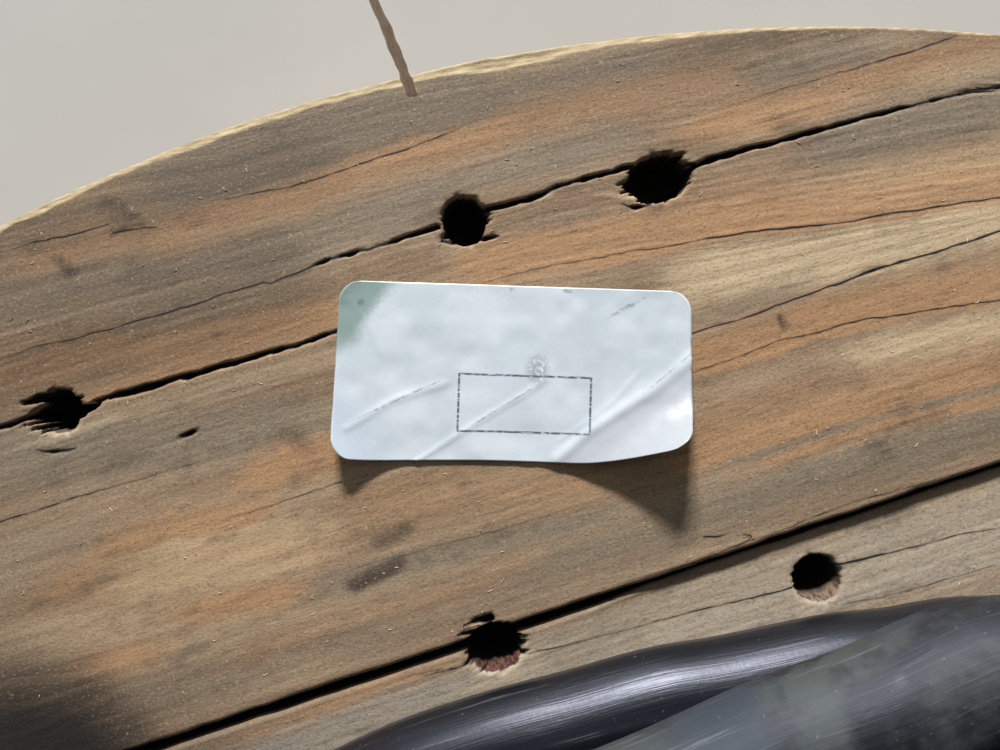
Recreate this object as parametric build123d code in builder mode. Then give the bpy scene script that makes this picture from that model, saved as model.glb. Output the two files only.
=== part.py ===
from build123d import *
from math import cos, radians, sin, tan
import os

# Wooden cable drum standing on its end. The origin is on the floor, at the middle of the lower flange, with +Z up
# along the drum's axis and +X along the boards of the lower flange's inner layer. Sizes are in millimetres.

# Flanges
flange_diameter = 1070.0
board_thickness = 25.0
board_width = 145.6
board_gap = 3.0
boards_per_layer = 7
arris_wear = 3.0
upper_flange_turn = 90.0

# Nail recesses, punched into the inner faces on two nail rings
recess_diameter = 13.8
recess_depth = 14.0
recess_sides = 8
rim_ring_inset = 46.0
mid_ring_inset = 160.0
rim_ring_spacing = 18.0
mid_ring_spacing = 30.0
recess_wander = 4.0
recess_wander_angle = 3.0
rim_ring_beat = 2.4
mid_ring_beat = 1.7

# Barrel
barrel_diameter = 560.0
barrel_length = 420.0
stave_count = 18
stave_thickness = 28.0
stave_gap = 1.0
groove_depth = 8.0
groove_clearance = 0.3

# Tie bolts, with a washer under the head and under the nut
bolt_diameter = 16.0
bolt_hole_clearance = 0.5
bolt_head_across_flats = 24.0
bolt_head_height = 10.0
nut_height = 13.0
nut_clearance = 0.1
bolt_end_over_nut = 2.0
washer_width = 44.0
washer_thickness = 4.0
counterbore_diameter = 66.0
counterbore_depth = 20.0

# Spindle hole
spindle_hole_diameter = 82.0

# Cable
cable_diameter = 28.0
cable_layers = 3
winding_clearance = 0.3

# Label, stuck on the lower flange with one corner curled up
label_length = 100.0
label_width = 50.0
label_corner_radius = 6.0
label_thickness = 0.4
label_inset = 91.7
label_angle = 83.7
label_turn = -20.8
label_curl_radius = 45.0
label_curl_angle = 45.0
label_curl_start = 22.0
label_curl_direction = -36.0

# Derived sizes
flange_radius = flange_diameter / 2
flange_thickness = 2 * board_thickness
barrel_radius = barrel_diameter / 2
stave_inner = barrel_radius - stave_thickness
drum_height = barrel_length + 2 * flange_thickness
board_pitch = board_width + board_gap
inner_face = flange_thickness
ceiling_face = flange_thickness + barrel_length
bolt_hole_radius = bolt_diameter / 2 + bolt_hole_clearance

# Nail recesses of the lower flange that the boards show in the open: inset from the rim and angle from +X
open_recesses = [(42.0, 77.5), (45.2, 84.2), (56.2, 99.7), (160.7, 72.3), (167.6, 87.1)]
open_sector = (60.0, 112.0)


def ring_recesses(inset, spacing, beat):
    """Places nail recesses round one nail ring, each a little off its even place."""
    count = round(360 / spacing)
    for i in range(count):
        yield (inset + recess_wander * sin(beat * i), i * 360 / count + recess_wander_angle * cos(beat * i))


def point_at(inset, angle):
    """Gives the point that lies at an angle from +X and at an inset from the rim."""
    radius = flange_radius - inset
    return (radius * cos(radians(angle)), radius * sin(radians(angle)))


rings = [
    *ring_recesses(rim_ring_inset, rim_ring_spacing, rim_ring_beat),
    *ring_recesses(mid_ring_inset, mid_ring_spacing, mid_ring_beat),
]
upper_recesses = [point_at(inset, angle) for inset, angle in rings]
lower_recesses = [point_at(inset, angle) for inset, angle in open_recesses] + [
    point_at(inset, angle) for inset, angle in rings if not open_sector[0] < angle < open_sector[1]
]

# The tie bolts go through the middles of boards, one board out from the middle one in both layers
bolt_places = [(x * board_pitch, y * board_pitch) for x in (-1, 1) for y in (-1, 1)]


def lay_boards():
    """Lists the two edges of each board of a layer: boards of one width, and a last one out to each rim."""
    joints = [(i - boards_per_layer / 2) * board_pitch for i in range(1, boards_per_layer)]
    lows = [-flange_radius] + [joint + board_gap / 2 for joint in joints]
    highs = [joint - board_gap / 2 for joint in joints] + [flange_radius]
    return list(zip(lows, highs))


def touches(point, across, low, high, radius):
    """Tells whether a round hole at a point reaches into a board that lies between two edges."""
    place = point[0] if across else point[1]
    return low - radius < place < high + radius


def make_board(name, face, outward, across, low, high, recesses):
    """Makes one flange board: a plank cut to the round flange, bored for the bolts and the spindle.

    The face plane is the side of the layer that faces the barrel, and outward is 1 where its normal is +Z. Boards
    laid across run along Y of that plane, and only boards that face the barrel are given recesses.
    """
    inner_layer = not across
    bolts = [tuple(face.to_local_coords(Vector(*place, 0)))[:2] for place in bolt_places]
    middle = (low + high) / 2
    with BuildPart() as board:
        with BuildSketch(face):
            Circle(flange_radius)
            with Locations((middle, 0) if across else (0, middle)):
                if across:
                    Rectangle(high - low, flange_diameter, mode=Mode.INTERSECT)
                else:
                    Rectangle(flange_diameter, high - low, mode=Mode.INTERSECT)
        extrude(amount=-board_thickness)
        if inner_layer:
            rim = board.edges().filter_by(GeomType.CIRCLE).group_by(Axis.Z)[-1 if outward > 0 else 0]
            chamfer(rim, length=arris_wear)
            with BuildSketch(face):
                Circle(barrel_radius + groove_clearance)
                Circle(stave_inner - groove_clearance, mode=Mode.SUBTRACT)
            extrude(amount=-groove_depth, mode=Mode.SUBTRACT)
        cuts = [
            (face, bolts, bolt_hole_radius, board_thickness),
            (face, [(0, 0)], spindle_hole_diameter / 2, board_thickness),
        ]
        if not inner_layer:
            seat = face.offset(counterbore_depth - board_thickness)
            cuts.append((seat, bolts, counterbore_diameter / 2, counterbore_depth))
        for plane, points, radius, depth in cuts:
            near = [p for p in points if touches(p, across, low, high, radius)]
            if near:
                with BuildSketch(plane):
                    with Locations(*near):
                        Circle(radius)
                extrude(amount=-depth, mode=Mode.SUBTRACT)
        near = [p for p in recesses if touches(p, across, low, high, recess_diameter / 2)]
        if near:
            with BuildSketch(face):
                with Locations(*near):
                    RegularPolygon(recess_diameter / 2, recess_sides)
            extrude(amount=-recess_depth, mode=Mode.SUBTRACT)
    board.part.label = name
    export_step(board.part, f"parts/{name}.step")


def make_flange(name, height, outward, turn, recesses):
    """Makes the two crosswise board layers of one flange, from its face beside the barrel outwards."""
    normal = (0, 0, outward)
    along = (cos(radians(turn)), sin(radians(turn)), 0)
    inner = Plane(origin=(0, 0, height), x_dir=along, z_dir=normal)
    outer = inner.offset(-board_thickness)
    for i, (low, high) in enumerate(lay_boards(), start=1):
        make_board(f"{name}_inner_board_{i}", inner, outward, False, low, high, recesses)
    for i, (low, high) in enumerate(lay_boards(), start=1):
        make_board(f"{name}_outer_board_{i}", outer, outward, True, low, high, [])


os.makedirs("parts", exist_ok=True)
make_flange("lower", inner_face, 1, 0.0, lower_recesses)
make_flange("upper", ceiling_face, -1, upper_flange_turn, upper_recesses)

# Barrel staves: bevelled boards, rounded outside and flat inside, that stand in the ring grooves
half_angle = 180 / stave_count
edge_shift = stave_gap / 2 / cos(radians(half_angle))
inner_half = stave_inner * tan(radians(half_angle)) - edge_shift
outer_half = barrel_radius * tan(radians(half_angle)) - edge_shift
for i in range(stave_count):
    turn = radians(i * 360 / stave_count)
    foot = Plane(
        origin=(0, 0, inner_face - groove_depth), x_dir=(cos(turn), sin(turn), 0), z_dir=(0, 0, 1)
    )
    with BuildPart() as stave:
        with BuildSketch(foot):
            Polygon(
                (stave_inner, -inner_half),
                (barrel_radius, -outer_half),
                (barrel_radius, outer_half),
                (stave_inner, inner_half),
                align=None,
            )
            Circle(barrel_radius, mode=Mode.INTERSECT)
        extrude(amount=barrel_length + 2 * groove_depth)
    name = f"barrel_stave_{i + 1:02d}"
    stave.part.label = name
    export_step(stave.part, f"parts/{name}.step")

# Tie bolts
head_seat = counterbore_depth - washer_thickness
nut_seat = drum_height - head_seat
for i, place in enumerate(bolt_places, start=1):
    with BuildPart() as bolt:
        with BuildSketch(Plane.XY.offset(head_seat - bolt_head_height)):
            with Locations(place):
                RegularPolygon(bolt_head_across_flats / 2, 6, major_radius=False)
        extrude(amount=bolt_head_height)
        with BuildSketch(Plane.XY.offset(head_seat)):
            with Locations(place):
                Circle(bolt_diameter / 2)
        extrude(amount=nut_seat + nut_height + bolt_end_over_nut - head_seat)
    bolt.part.label = f"tie_bolt_{i}"
    export_step(bolt.part, f"parts/tie_bolt_{i}.step")

with BuildPart() as tie_nuts:
    with BuildSketch(Plane.XY.offset(nut_seat)):
        with Locations(*bolt_places):
            RegularPolygon(bolt_head_across_flats / 2, 6, major_radius=False)
            Circle(bolt_diameter / 2 + nut_clearance, mode=Mode.SUBTRACT)
    extrude(amount=nut_height)
tie_nuts.part.label = "tie_nuts"
export_step(tie_nuts.part, "parts/tie_nuts.step")

with BuildPart() as tie_washers:
    for level in (head_seat, nut_seat - washer_thickness):
        with BuildSketch(Plane.XY.offset(level)):
            with Locations(*bolt_places):
                Rectangle(washer_width, washer_width)
                Circle(bolt_hole_radius, mode=Mode.SUBTRACT)
        extrude(amount=washer_thickness)
tie_washers.part.label = "tie_washers"
export_step(tie_washers.part, "parts/tie_washers.step")

# Cable winding: one turned solid. Rings on its ends show its layers, and rings round its outside show the turns of
# the outer layer, spread evenly from one flange to the other.
cable_radius = cable_diameter / 2
crown_half = cable_radius * tan(radians(22.5))
layer_radii = [barrel_radius + (i + 0.5) * cable_diameter for i in range(cable_layers)]
outer_layer = layer_radii[-1]
end_turns = (inner_face + cable_radius, ceiling_face - cable_radius)
turn_steps = int((end_turns[1] - end_turns[0]) / cable_diameter + 0.001)
turn_pitch = (end_turns[1] - end_turns[0]) / turn_steps
turn_heights = [end_turns[0] + i * turn_pitch for i in range(turn_steps + 1)]
core_inner = barrel_radius + winding_clearance
with BuildPart() as cable_winding:
    with BuildSketch(Plane.XZ):
        with Locations((outer_layer / 2, drum_height / 2)):
            Rectangle(outer_layer, end_turns[1] - end_turns[0] + 2 * crown_half)
        with Locations(*[(r, z) for r in layer_radii[:-1] for z in end_turns]):
            RegularPolygon(cable_radius, 8, major_radius=False, rotation=22.5)
        with Locations(*[(outer_layer, z) for z in turn_heights]):
            RegularPolygon(cable_radius, 8, major_radius=False, rotation=22.5)
        with Locations((core_inner / 2, drum_height / 2)):
            Rectangle(core_inner, drum_height, mode=Mode.SUBTRACT)
    revolve(axis=Axis.Z)
cable_winding.part.label = "cable_winding"
export_step(cable_winding.part, "parts/cable_winding.step")

# Label: a thin rounded sheet whose section runs flat and then bends up on an arc towards one corner
label_point = point_at(label_inset, label_angle)
label_frame = Plane(
    origin=(*label_point, inner_face),
    x_dir=(cos(radians(label_turn)), sin(radians(label_turn)), 0),
    z_dir=(0, 0, 1),
)
curl_turn = radians(label_turn + label_curl_direction)
curl_section = Plane(
    origin=(*label_point, inner_face),
    x_dir=(cos(curl_turn), sin(curl_turn), 0),
    z_dir=(sin(curl_turn), -cos(curl_turn), 0),
)
with BuildPart() as label:
    with BuildSketch(curl_section):
        with BuildLine():
            flat = Line((-label_length, 0), (label_curl_start, 0))
            JernArc(start=flat @ 1, tangent=flat % 1, radius=label_curl_radius, arc_size=label_curl_angle)
            offset(amount=label_thickness, side=Side.LEFT)
        make_face()
    extrude(amount=label_length, both=True)
    with BuildSketch(label_frame):
        RectangleRounded(label_length, label_width, label_corner_radius)
    extrude(amount=label_curl_radius, mode=Mode.INTERSECT)
label.part.label = "label"
export_step(label.part, "parts/label.step")
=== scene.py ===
import math

import bpy
import numpy as np
from mathutils import Matrix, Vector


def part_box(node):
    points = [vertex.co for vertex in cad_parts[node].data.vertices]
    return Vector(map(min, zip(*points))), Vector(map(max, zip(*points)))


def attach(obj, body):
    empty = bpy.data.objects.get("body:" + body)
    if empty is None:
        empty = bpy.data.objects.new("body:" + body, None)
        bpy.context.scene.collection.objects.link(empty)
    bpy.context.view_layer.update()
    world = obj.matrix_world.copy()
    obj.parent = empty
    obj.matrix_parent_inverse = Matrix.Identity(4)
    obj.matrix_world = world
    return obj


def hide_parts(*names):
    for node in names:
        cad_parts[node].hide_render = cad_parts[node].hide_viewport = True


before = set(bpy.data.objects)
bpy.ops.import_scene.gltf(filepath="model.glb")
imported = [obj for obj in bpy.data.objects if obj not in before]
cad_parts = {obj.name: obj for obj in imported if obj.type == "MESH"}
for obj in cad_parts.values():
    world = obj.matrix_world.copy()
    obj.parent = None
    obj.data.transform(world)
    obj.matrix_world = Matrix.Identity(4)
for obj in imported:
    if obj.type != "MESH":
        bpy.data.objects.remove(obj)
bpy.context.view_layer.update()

# The photograph looks straight down on the lower flange's face. A point of it is carried onto that face by one scale
# and one turn, which the label and the round rim gave.
photo_pixels_a_metre = 3429.0
pixels_a_mm = 3.43
rim_centre_in_photo = (829.2, 1857.6)
photo_right = (0.9494, -0.3140)
photo_up = (0.3140, 0.9494)

flange_radius = 0.535
face_height = 0.050
upper_face_height = 0.470
layer_height = 0.025
board_pitch = 0.1486
camera_height = 0.219
groove_radii = (0.2508, 0.2800)
groove_depth = 0.0080
recess_depth = 0.0200
cad_recess_depth = 0.0140

# In the photograph the joint of the two boards in view is this much nearer the drum's axis than in the CAD, it is
# narrower at the right, and there the board below it lies lower
joint_shift = 0.0027
joint_narrowing = 0.0011
lowering_at_right = 0.0029

cable_radius = 0.014
cable_layers = (0.2946, 0.3222, 0.3496)
turns_in_layer = 15
start_angle = 251.7

# Long cracks: each point has its place in the photograph and the crack's width there in millimetres
cracks = [
    [(-60, 372, 0.15), (0, 357, 0.3), (150, 318, 0.5), (268, 281, 0.55)],
    [(268, 284, 0.3), (330, 259, 1.0), (370, 248, 1.3), (440, 225, 1.5)],
    [(484, 210, 1.6), (500, 206, 1.9), (545, 194, 1.5), (562, 184, 0.9)],
    [(558, 186, 0.9), (590, 177, 1.7), (630, 166, 2.0), (700, 163, 0.6)],
    [(690, 168, 2.2), (720, 157, 1.9), (790, 138, 1.6), (880, 114, 1.1), (1000, 85, 0.9), (1150, 50, 0.8)],
    [(-60, 446, 0.9), (0, 428, 1.2), (30, 419, 1.4)],
    [(92, 403, 1.4), (130, 393, 1.9), (180, 377, 2.0), (210, 371, 1.5), (335, 333, 1.2), (370, 322, 0.9)],
    [(-70, 544, 0.3), (0, 522, 0.4), (90, 494, 0.35), (204, 460, 0.15)],
    [(345, 482, 0.3), (290, 499, 0.35), (223, 521, 0.15)],
    [(470, 286, 0.2), (560, 263, 0.25), (678, 245, 0.35), (745, 232, 0.6), (850, 222, 0.5),
     (925, 208, 0.6), (1000, 198, 0.5), (1100, 186, 0.4)],
    [(680, 336, 0.4), (770, 309, 0.5), (870, 271, 0.8), (950, 247, 0.6), (1000, 232, 0.8), (1100, 200, 0.7)],
    [(690, 374, 0.3), (790, 338, 0.3), (870, 318, 0.45), (1000, 300, 0.35), (1100, 285, 0.3)],
    [(0, 252, 0.2), (50, 240, 0.5), (115, 222, 0.4)], [(110, 233, 0.7), (140, 229, 0.5), (160, 226, 0.2)],
    [(220, 201, 0.3), (290, 187, 0.4), (400, 151, 0.45), (460, 128, 0.3)],
    [(880, 62, 0.3), (815, 80, 0.3), (690, 118, 0.1)], [(960, 34, 0.4), (900, 56, 0.5), (820, 78, 0.2)],
    [(36, 449, 0.3), (52, 452, 0.9), (66, 451, 1.0), (78, 448, 0.3)],
    [(620, 203, 0.5), (634, 207, 1.4), (652, 205, 0.4)], [(20, 404, 1.2), (40, 398, 2.6), (60, 392, 2.0)],
    [(20, 420, 0.6), (38, 417, 1.6), (50, 414, 2.0)], [(468, 240, 1.6), (484, 240, 1.6), (500, 236, 0.6)],
    [(440, 240, 1.0), (452, 243, 0.8), (462, 244, 0.4)], [(462, 626, 0.6), (478, 622, 2.2), (494, 620, 2.4)],
    [(456, 636, 0.4), (470, 632, 1.4), (484, 630, 2.0)], [(700, 535, 0.3), (716, 536, 0.6), (730, 533, 0.2)],
    [(742, 534, 0.4), (750, 535, 0.6), (754, 540, 0.4)], [(179, 437, 0.5), (188, 434, 1.8), (198, 429, 0.8)],
    [(838, 566, 0.8), (900, 552, 0.4), (1000, 528, 0.25)],
    [(400, 678, 0.2), (540, 650, 0.3), (640, 627, 0.3), (716, 609, 0.34), (796, 589, 0.6)],
    [(540, 612, 0.1), (640, 597, 0.26), (748, 579, 0.05)], [(842, 606, 0.2), (900, 592, 0.26), (1000, 565, 0.26)],
    [(400, 683, 0.05), (430, 675, 0.2), (470, 664, 0.5)],
    [(319, 580, 0.1), (400, 555, 0.22), (500, 530, 0.22), (560, 512, 0.1)],
    [(560, 600, 0.1), (700, 560, 0.3), (860, 500, 0.3), (1000, 462, 0.2)],
]
# Nail recesses that the photograph shows: centre, half length along the grain, half width, reach of the torn fibres,
# and how much of the lower wall is open to the light
recesses = [
    (659, 178, 34, 24, 9, 0.15),
    (464, 221, 23, 25, 4, 0.25),
    (61, 411, 25, 22, 18, 0.55),
    (820, 580, 24, 23, 2, 0.9),
    (495, 648, 28, 25, 5, 1.0),
]
grain_in_photo = (0.957, -0.290)

# Bands of colour by finish, where the stain groups hold real stains and also painted shade: how strong, reach above
# and below the line, and the line's points in the photograph
bands = [
    ("ash", [(0.75, 26, 90, (100, 812), (560, 655), (1000, 510), (1200, 445))]),
    ("orange", [
        (0.26, 5, 14, (842, 610), (900, 597), (1000, 570)),
        (0.55, 22, 16, (30, 262), (70, 250), (110, 240), (150, 232)),
        (0.6, 12, 26, (160, 232), (200, 218), (250, 206), (290, 196), (340, 178)),
        (0.6, 10, 26, (320, 178), (373, 160), (440, 140), (510, 122)),
        (0.38, 24, 30, (520, 116), (600, 100), (680, 92), (740, 84)),
        (0.55, 8, 30, (830, 80), (900, 60), (960, 40), (1020, 24)), (0.8, 16, 16, (690, 134), (750, 118), (825, 102)),
        (0.75, 14, 20, (140, 352), (200, 340), (270, 326), (340, 312)),
        (0.55, 22, 30, (-30, 380), (30, 360), (80, 352), (130, 346)),
        (0.55, 10, 12, (90, 396), (150, 376), (240, 352), (340, 324)),
        (0.8, 44, 5, (600, 262), (666, 248), (745, 233), (850, 221), (925, 208), (1090, 185)),
        (0.85, 22, 22, (480, 268), (530, 258), (600, 242), (660, 232)),
        (0.9, 34, 5, (680, 380), (740, 362), (800, 341), (851, 326), (920, 312), (1090, 289)),
        (0.32, 20, 20, (700, 420), (780, 396), (860, 380), (920, 366)),
        (0.66, 40, 5, (690, 466), (774, 440), (851, 417), (930, 396), (1090, 356)),
        (0.6, 7, 9, (770, 462), (850, 438), (930, 414), (1090, 370)),
        (0.8, 20, 18, (262, 474), (290, 462), (330, 452), (350, 446)),
        (0.75, 22, 5, (110, 556), (160, 540), (223, 526), (260, 512)), (0.5, 18, 6, (60, 590), (90, 572), (140, 556)),
        (0.6, 18, 18, (196, 612), (230, 600), (290, 588)), (0.6, 16, 16, (80, 672), (115, 660), (150, 650)),
        (0.35, 30, 30, (350, 506), (420, 500), (520, 490), (600, 480)),
        (0.35, 12, 20, (250, 650), (330, 620), (420, 600), (520, 560)),
        (0.45, 5, 9, (240, 735), (340, 700), (440, 664)),
    ]),
    ("pale", [
        (0.85, 30, 22, (690, 280), (760, 272), (830, 262), (900, 246), (1000, 222)),
        (0.6, 16, 30, (820, 194), (900, 180), (1090, 145)), (0.7, 14, 22, (860, 352), (920, 340), (1090, 306)),
        (0.3, 16, 16, (340, 250), (400, 232), (460, 250)),
        (0.75, 26, 34, (120, 574), (190, 556), (250, 548), (310, 540)),
    ]),
    ("orange", [(0.36, 34, 40, (60, 590), (190, 562), (250, 552), (330, 540))]),
    ("pale", [
        (0.28, 26, 26, (30, 640), (90, 630), (150, 610)), (0.45, 12, 12, (770, 60), (830, 50), (900, 40)),
        (0.5, 14, 14, (925, 76), (1000, 60), (1090, 40)), (0.5, 8, 8, (780, 112), (820, 106), (850, 100)),
        (0.3, 44, 44, (760, 590), (860, 556), (960, 530), (1080, 500), (1200, 470)),
        (0.3, 34, 34, (480, 690), (560, 650), (660, 616), (780, 580)),
        (0.45, 12, 12, (330, 410), (250, 430), (180, 446)),
    ]),
    ("grey", [
        (0.9, 40, 20, (170, 190), (220, 178), (300, 150), (400, 124), (480, 104)),
        (0.58, 30, 26, (-20, 300), (60, 290), (170, 276), (230, 262)),
        (0.85, 26, 20, (230, 262), (320, 238), (400, 212), (440, 194)),
        (0.7, 24, 14, (476, 182), (560, 158), (620, 140)), (0.75, 14, 14, (500, 92), (560, 82), (640, 66)),
        (0.8, 30, 26, (830, 146), (900, 130), (1090, 85)), (0.6, 20, 10, (740, 84), (800, 72), (860, 56)),
        (0.6, 10, 10, (520, 232), (580, 218), (640, 212)),
        (0.8, 6, 18, (770, 452), (851, 428), (930, 406), (1090, 362)),
        (0.65, 20, 26, (700, 512), (800, 480), (900, 448), (1090, 389)),
        (0.8, 5, 20, (319, 580), (400, 556), (500, 532), (600, 508)),
        (0.55, 22, 26, (330, 640), (440, 600), (560, 560), (690, 524)),
        (0.75, 30, 30, (-30, 466), (60, 456), (150, 444), (250, 430), (320, 424)),
        (0.35, 24, 30, (0, 560), (60, 545), (110, 530)), (0.45, 26, 26, (120, 700), (200, 680), (300, 650)),
        (0.5, 10, 10, (700, 318), (760, 300), (790, 290)),
        (0.38, 26, 30, (560, 650), (700, 605), (850, 560), (1000, 515), (1150, 470)),
    ]),
    ("stain_and_shade", [
        # Painted shadow: this narrow band darkens the lower board just under the joint, at the right.
        (0.4, 4, 8, (600, 608), (700, 575), (850, 525), (1000, 476), (1150, 426)),
        (0.95, 9, 8, (352, 584), (375, 574), (402, 564)), (0.75, 9, 8, (376, 542), (395, 534), (411, 526)),
        (0.45, 14, 12, (106, 196), (124, 192), (140, 186)), (0.85, 5, 9, (122, 206), (129, 214), (138, 216)),
        (0.95, 3, 4, (112, 231), (118, 229), (124, 228)), (0.8, 9, 9, (54, 258), (66, 268), (74, 276)),
        (1.1, 3, 3, (178, 437), (188, 433), (199, 428)), (1.2, 3, 3, (780, 316), (783, 324), (786, 331)),
        # Painted shade: this wide band darkens the left and top left, where the light falls off.
        (0.54, 70, 70, (-80, 290), (40, 240), (160, 200), (330, 140)),
        (0.3, 20, 20, (810, 176), (880, 150), (990, 130)), (0.3, 12, 12, (560, 298), (640, 284), (720, 272)),
        (0.3, 14, 20, (540, 150), (600, 128), (660, 116)),
        # Painted shade: the wide bands from here on darken the lower left corner, the left, the top and the top left.
        (1.6, 70, 120, (-300, 780), (-90, 750), (10, 738), (60, 745), (120, 800)),
        (0.5, 80, 80, (-200, 760), (-60, 720), (60, 720), (160, 750), (260, 800)),
        (0.28, 60, 60, (-60, 520), (20, 500), (60, 480)),
        (0.58, 80, 80, (-200, 420), (60, 350), (200, 310), (300, 270)),
        (0.3, 80, 50, (-200, 640), (0, 600), (160, 560)),
        (0.54, 110, 100, (-300, 250), (-100, 190), (250, 80), (600, 0), (1100, -20), (1300, -20)),
        (0.42, 60, 40, (-100, 260), (100, 190), (300, 130), (460, 90)),
        (0.44, 34, 34, (100, 242), (220, 215), (340, 176)),
    ]),
    ("pale", [(1.4, 6, 6, (48, 438), (62, 434), (84, 427)), (0.9, 3, 3, (624, 198), (640, 200), (656, 199))]),
    ("stain_and_shade", [
        (0.3, 20, 14, (420, 200), (450, 190), (490, 194)), (0.45, 22, 16, (630, 154), (670, 146), (720, 152)),
        (0.35, 12, 14, (590, 196), (630, 200), (680, 210)),
    ]),
]
# Lines that the grain of the rim board follows, each with its distance in millimetres from the joint
grain_lines = [
    (0.0, [(-1200, 1190), (130, 750), (1000, 462), (2200, 65)]),
    (68.0, [(-1200, 915), (0, 523), (204, 460), (520, 375), (693, 331), (870, 271), (1000, 232), (2200, -165)]),
    (97.0, [(-1200, 825), (0, 430), (130, 393), (335, 333), (500, 277), (678, 245), (925, 208), (1000, 198),
            (2200, -230)]),
    (117.0, [(-1200, 756), (0, 358), (268, 282), (440, 226), (560, 185), (690, 163), (1000, 85), (2200, -312)]),
    (147.0, [(-1200, 650), (0, 250), (115, 220), (220, 201), (400, 151), (560, 112), (700, 84), (1000, 8),
             (2200, -390)]),
]


def on_photo(x, y):
    """Where a point of the flange face shows in the photograph, in its pixels."""
    right = photo_right[0] * x + photo_right[1] * y
    up = photo_up[0] * x + photo_up[1] * y
    return rim_centre_in_photo[0] + photo_pixels_a_metre * right, rim_centre_in_photo[1] - photo_pixels_a_metre * up


def on_face(px, py):
    """Where a point of the photograph lies on the flange face, in metres."""
    right = (px - rim_centre_in_photo[0]) / photo_pixels_a_metre
    up = (rim_centre_in_photo[1] - py) / photo_pixels_a_metre
    return photo_right[0] * right + photo_up[0] * up, photo_right[1] * right + photo_up[1] * up


def smooth(low, high, value):
    """Rises from 0 at low to 1 at high along 3t squared less 2t cubed."""
    t = np.clip((value - low) / (high - low), 0, 1)
    return t * t * (3 - 2 * t)


def bell(value, centre, reach):
    """1 at the centre, and e to minus the square of the distance in reaches away from it."""
    return np.exp(-(((value - centre) / reach) ** 2))


def noise(x, y=0.0, seed=0):
    """Smooth noise from -1 to 1: a random value at each whole point, joined by 3t squared less 2t cubed both ways."""
    x, y = np.broadcast_arrays(np.asarray(x, float), np.asarray(y, float))
    whole_x, whole_y = np.floor(x).astype(np.int64), np.floor(y).astype(np.int64)
    ease_x, ease_y = smooth(0, 1, x - whole_x), smooth(0, 1, y - whole_y)

    def corner(i, j):
        mixed = ((whole_x + i) * 374761393 + (whole_y + j) * 668265263 + (seed + 1) * 144269504) & 0xFFFFFFFF
        mixed = ((mixed ^ (mixed >> 13)) * 1274126177) & 0xFFFFFFFF
        return ((mixed ^ (mixed >> 16)) & 0xFFFF) / 32767.5 - 1

    near = corner(0, 0) * (1 - ease_x) + corner(1, 0) * ease_x
    far = corner(0, 1) * (1 - ease_x) + corner(1, 1) * ease_x
    return near * (1 - ease_y) + far * ease_y


def beside_line(px, py, points):
    """Distance to a line of points, which side of it (1 above), and how far along it from 0 to its last point."""
    best, side, along = np.full(px.shape, 1e9), np.ones(px.shape), np.zeros(px.shape)
    for i, ((ax, ay), (bx, by)) in enumerate(zip(points, points[1:])):
        dx, dy = bx - ax, by - ay
        t = np.clip(((px - ax) * dx + (py - ay) * dy) / math.hypot(dx, dy) ** 2, 0, 1)
        away = np.hypot(px - ax - t * dx, py - ay - t * dy)
        turn = ((px - ax) * dy - (py - ay) * dx) * (1 if dx > 0 else -1)
        near = away < best
        best = np.where(near, away, best)
        side = np.where(near, np.where(turn >= 0, 1.0, -1.0), side)
        along = np.where(near, i + t, along)
    return best, side, along


def drawn_out(points, reach):
    """The line of points with a straight stretch added before its first point and after its last."""
    result = list(points)
    for end, (ax, ay), (bx, by) in ((0, points[1], points[0]), (len(points) + 1, points[-2], points[-1])):
        share = reach / math.hypot(bx - ax, by - ay)
        result.insert(end, (bx + (bx - ax) * share, by + (by - ay) * share))
    return result


def grain_height(px, py):
    """Distance across the grain in millimetres: each grain line has its value, and between two it goes evenly."""
    lines = [(level, np.interp(px, *zip(*points))) for level, points in grain_lines]
    result = lines[0][0] + (lines[0][1] - py) / 3.6
    for (low, y_low), (high, y_high) in zip(lines, lines[1:]):
        between = low + (high - low) * (y_low - py) / (y_low - y_high)
        result = np.where(py < y_low, between, result)
    return result


def recess_gap(px, py):
    """Distance in millimetres to the nearest torn recess edge, below 0 inside: an ellipse whose ends run out in fibres.
    Also gives how much of that recess's lit lower wall a point lies on."""
    nearest, lower = np.full(px.shape, 30.0), np.zeros(px.shape)
    for i, (cx, cy, half_length, half_width, torn, open_wall) in enumerate(recesses):
        along = (px - cx) * grain_in_photo[0] + (py - cy) * grain_in_photo[1]
        across = (px - cx) * grain_in_photo[1] - (py - cy) * grain_in_photo[0]
        inside = np.clip(1 - (across / half_width) ** 2, 0, 1)
        end = np.sign(along)
        fibre = noise(across / 3.3, end * 7.3 + i, 11) + 0.8 * noise(across / 1.9, end * 3.1 + i, 12)
        reach = half_length * np.sqrt(inside) + torn * np.clip(fibre, -0.3, 1.2) * (0.25 + inside)
        wave = 1.6 * noise(along / 6.0, i, 13)
        gap = np.maximum(np.abs(along) - reach, np.abs(across) - half_width - wave)
        close = gap / pixels_a_mm < nearest
        nearest = np.where(close, gap / pixels_a_mm, nearest)
        lower = np.where(close & (gap < 12), open_wall * smooth(0.15, 0.75, -across / half_width), lower)
    return nearest, lower


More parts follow.
